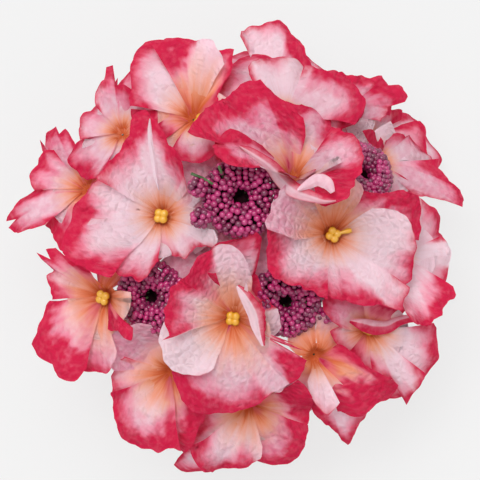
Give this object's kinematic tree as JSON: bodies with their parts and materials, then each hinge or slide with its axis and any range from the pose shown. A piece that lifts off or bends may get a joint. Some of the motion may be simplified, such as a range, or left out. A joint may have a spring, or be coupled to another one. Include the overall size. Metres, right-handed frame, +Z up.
{
  "type": "artificial hydrangea flower head",
  "caption": "Domed head of silk florets with crimson rims and ring-shaped sprays of berries, on a moulded branching stem cut short.",
  "frame": {"origin": "middle of the flat cut at the foot of the stem", "axes": "+Z up from the cut through the crown, as the head lies face up; +Y towards the floret whose petal stands out furthest"},
  "size_m": [0.2099, 0.2045, 0.1123],
  "materials": {
    "silk": "matte",
    "berry": "satin",
    "stem": "satin"
  },
  "bodies": {
    "root": {"berries_back": "berry", "berries_front": "berry", "berries_left": "berry", "berries_right": "berry", "bough_1": "stem", "bough_2": "stem", "bough_3": "stem", "bough_4": "stem", "bough_5": "stem", "bough_6": "stem", "bough_7": "stem", "crown_floret_back": "silk", "crown_floret_front": "silk", "crown_floret_left": "silk", "crown_floret_right": "silk", "low_floret_back": "silk", "low_floret_back_left": "silk", "low_floret_back_right": "silk", "low_ring_floret_1": "silk", "low_ring_floret_2": "silk", "low_ring_floret_3": "silk", "low_ring_floret_4": "silk", "low_ring_floret_5": "silk", "low_ring_floret_6": "silk", "low_ring_floret_7": "silk", "ring_floret_back": "silk", "ring_floret_back_left": "silk", "ring_floret_back_right": "silk", "ring_floret_front": "silk", "ring_floret_front_left": "silk", "ring_floret_front_right": "silk", "ring_floret_left": "silk", "ring_floret_left_back": "silk", "ring_floret_left_front": "silk", "ring_floret_right": "silk", "ring_floret_right_front": "silk", "stem": "stem"}
  },
  "joints": []
}
